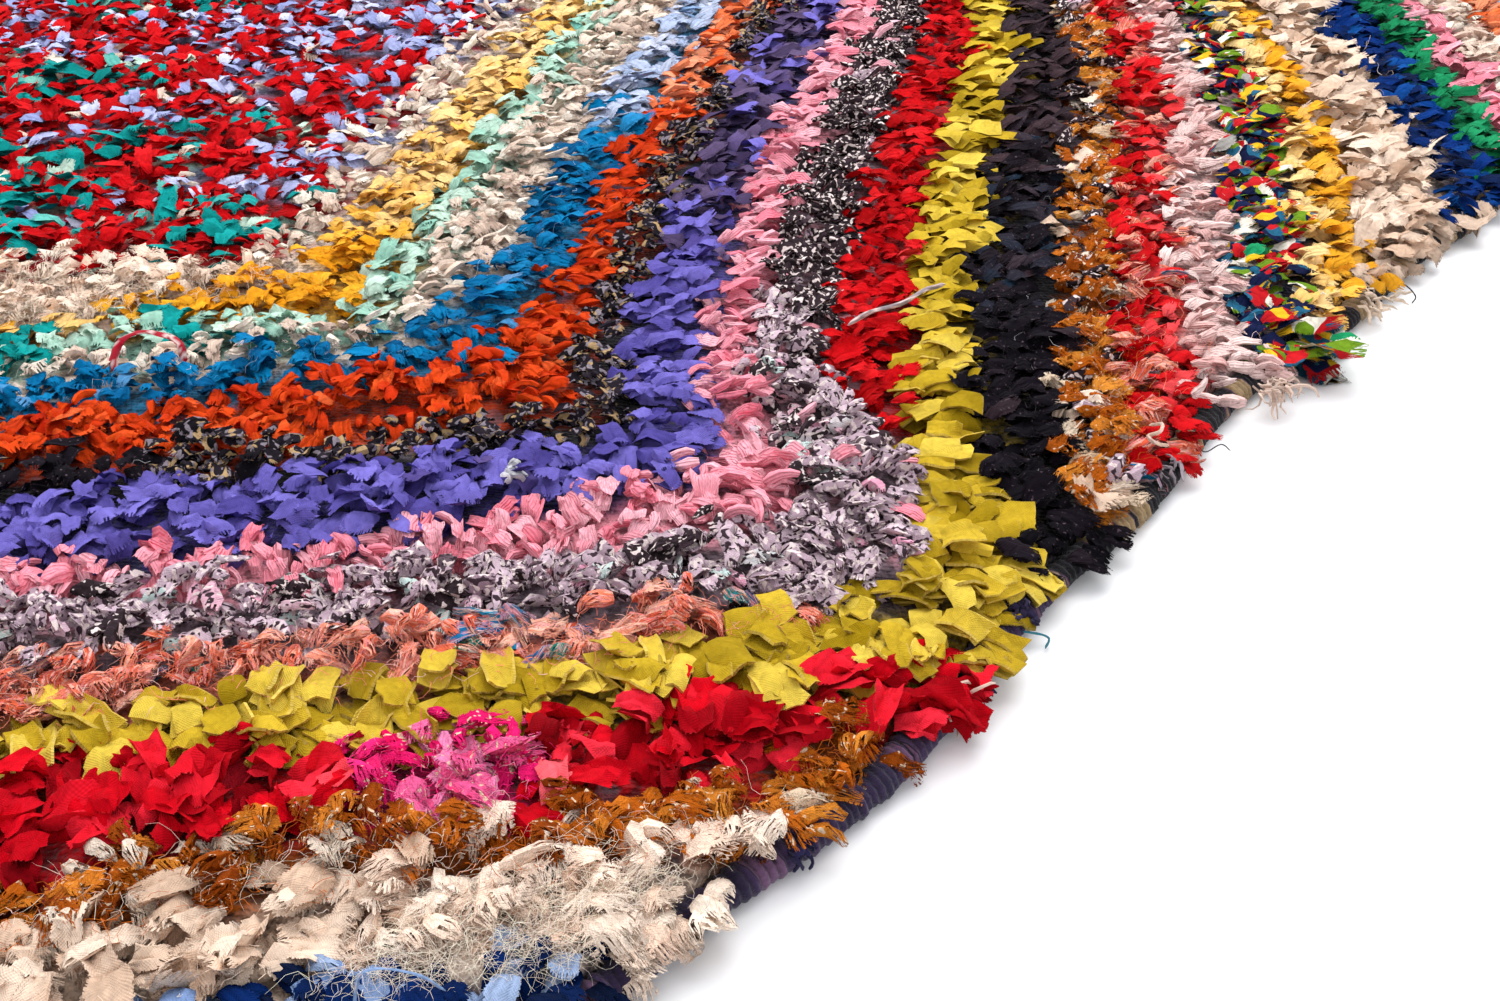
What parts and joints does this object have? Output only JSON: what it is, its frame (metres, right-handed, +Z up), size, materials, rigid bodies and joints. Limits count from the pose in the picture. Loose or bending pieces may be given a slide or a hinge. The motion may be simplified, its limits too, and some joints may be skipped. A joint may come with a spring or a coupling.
{
  "type": "boucherouite rug",
  "caption": "Thick hand-knotted rag-pile rug lying flat, with nested diamonds of coloured cloth strips and overcast cord selvedges.",
  "frame": {"origin": "middle of the footprint, on the floor", "axes": "+Z up out of the pile, +Y along the rug's length and its selvedges, +X across it"},
  "size_m": [1.632, 2.432, 0.0351],
  "materials": {
    "rag_pile": "matt knotted cotton and jersey rags in many colours",
    "selvedge_yarn": "dark overcast yarn",
    "rim_rags": "matt cut cloth strips"
  },
  "bodies": {
    "root": {"rug_cloth": "rag_pile", "selvedge_left": "selvedge_yarn", "selvedge_right": "selvedge_yarn", "rim_rags_left": "rim_rags", "rim_rags_right": "rim_rags", "rim_rags_top": "rim_rags", "rim_rags_bottom": "rim_rags"}
  },
  "joints": []
}
